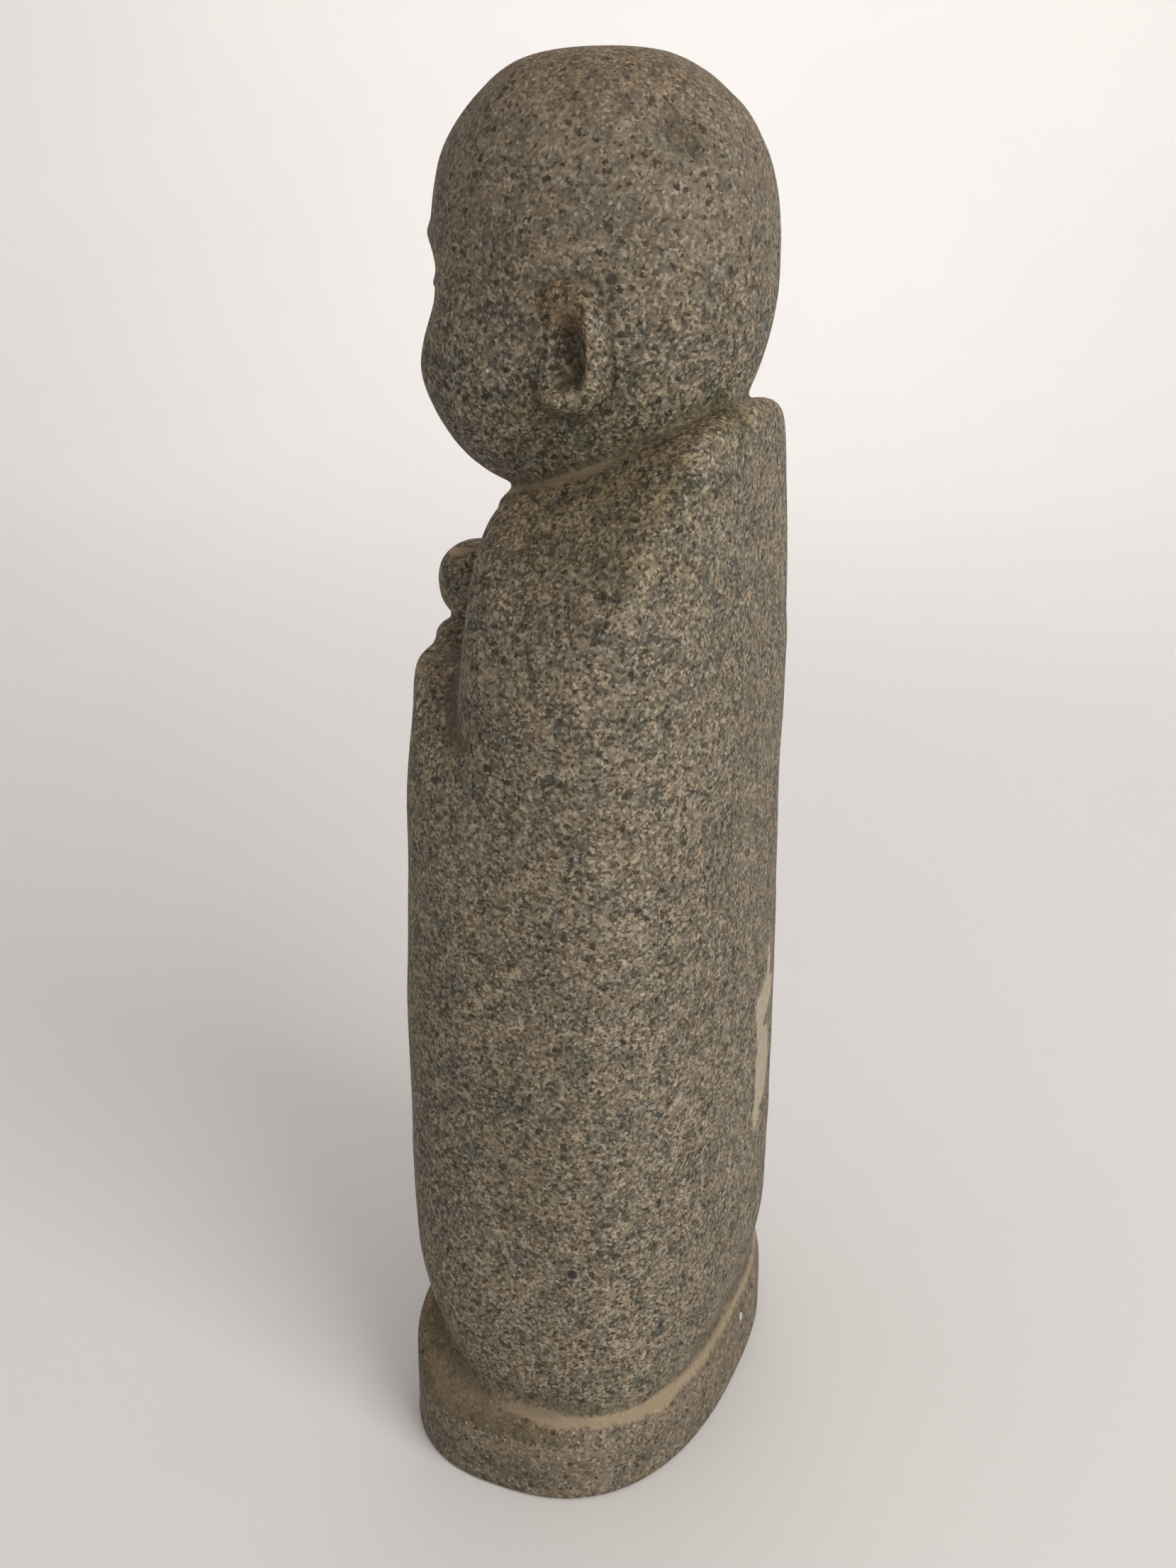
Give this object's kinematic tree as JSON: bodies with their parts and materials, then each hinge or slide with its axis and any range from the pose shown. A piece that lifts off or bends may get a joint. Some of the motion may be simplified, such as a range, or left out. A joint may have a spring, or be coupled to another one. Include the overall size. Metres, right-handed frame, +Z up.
{
  "type": "stone jizo statue",
  "caption": "Standing stone jizo statue with a round shaven head, long ears, a plain robe with hanging sleeves and a jewel in its joined hands, carved in one with its low oval base.",
  "frame": {"origin": "centre of the bounding box's footprint, on the underside of the base", "axes": "+Z up; the figure faces -Y and its left side is +X"},
  "size_m": [0.141, 0.0971, 0.38],
  "materials": {
    "granite": "fine matte carved granite, grey-brown with dark and tan grains"
  },
  "bodies": {
    "root": {"jizo_statue": "granite"}
  },
  "joints": []
}
